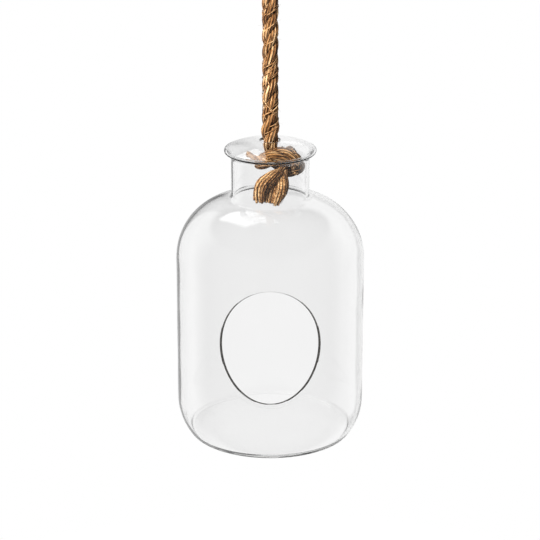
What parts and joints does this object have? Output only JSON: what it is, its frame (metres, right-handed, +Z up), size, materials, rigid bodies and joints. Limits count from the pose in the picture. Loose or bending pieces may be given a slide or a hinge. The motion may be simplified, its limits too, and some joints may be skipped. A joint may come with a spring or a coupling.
{
  "type": "hanging glass propagation vase",
  "caption": "Hanging blown-glass vase with an oval front opening, held up by a knotted natural-fibre rope that passes through its domed top and ends in a spliced eye.",
  "frame": {"origin": "the point where a hook's wire bears on the inside top of the rope's spliced eye; the vase hangs straight below it", "axes": "+Z up along the rope and the vase's axis, -Y out through the oval opening in the front wall, +X to the right seen from the front"},
  "size_m": [0.14, 0.14, 0.4428],
  "materials": {
    "clear_glass": "polished",
    "jute_rope": "matte"
  },
  "bodies": {
    "rope": {"hanging_rope": "jute_rope", "eye_splice": "jute_rope", "hanging_eye": "jute_rope"},
    "knot": {"stopper_knot": "jute_rope", "rope_tail": "jute_rope", "loose_strand": "jute_rope"},
    "vase": {"glass_vessel": "clear_glass"}
  },
  "joints": [
    {"name": "rope_twist", "type": "hinge", "parent": "rope", "child": "knot", "pos_m": [0, 0, -0.203], "axis": [0, 0, 1], "range_deg": [-180, 180]},
    {"name": "vase_lift", "type": "slide", "parent": "knot", "child": "vase", "axis": [0, 0, 1], "range_m": [0, 0.1]}
  ]
}
